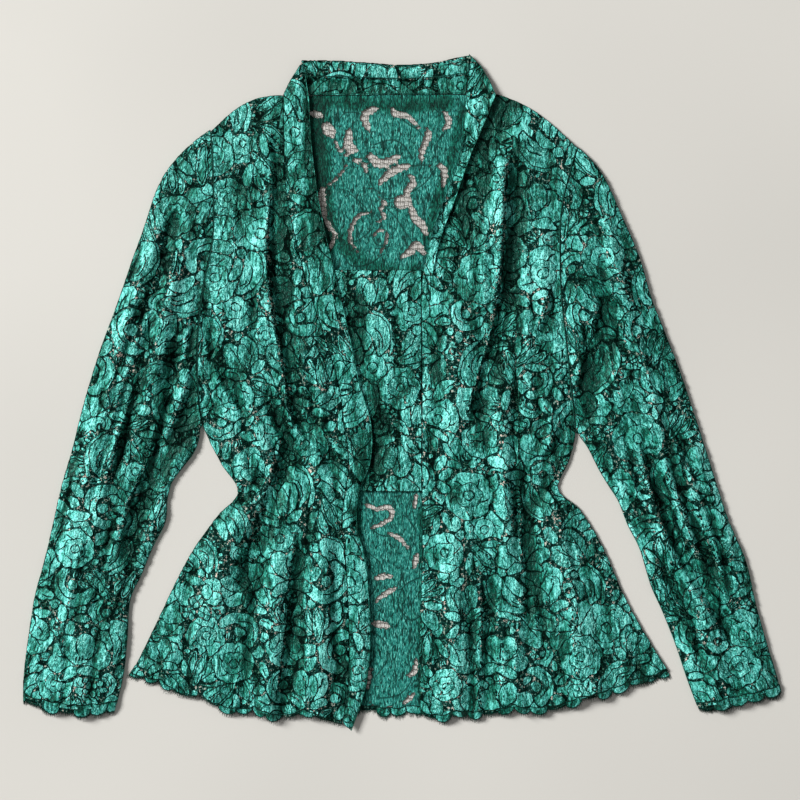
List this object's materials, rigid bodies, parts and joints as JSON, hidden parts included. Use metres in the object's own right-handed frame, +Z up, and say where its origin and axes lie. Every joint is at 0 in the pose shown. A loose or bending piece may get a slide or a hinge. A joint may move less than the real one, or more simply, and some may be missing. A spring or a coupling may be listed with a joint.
{
  "type": "kebaya blouse",
  "caption": "Long-sleeved corded lace kebaya blouse laid flat face up, with stand collar, centre bodice panel and scalloped eyelash hems.",
  "frame": {"origin": "on the table, under the middle of the blouse as it lies", "axes": "+X to the wearer's left across the sleeves, +Y towards the neck, +Z up from the table out of the garment's front"},
  "size_m": [0.7601, 0.6791, 0.0124],
  "materials": {
    "lace_face": "silky corded lace, right side, blue-green with a black-green net",
    "lace_inside": "duller wrong side of the same lace",
    "lash_thread": "matt cut thread ends of the lace edge"
  },
  "bodies": {
    "root": {"back_panel": "lace_inside", "front_right": "lace_face", "front_left": "lace_face", "centre_panel": "lace_face", "neck_band": "lace_face", "front_band_right": "lace_face", "front_band_left": "lace_face", "sleeve_right": "lace_face", "sleeve_left": "lace_face", "hem_lashes_back": "lash_thread", "hem_lashes_right": "lash_thread", "hem_lashes_left": "lash_thread", "cuff_lashes_right": "lash_thread", "cuff_lashes_left": "lash_thread"}
  },
  "joints": []
}
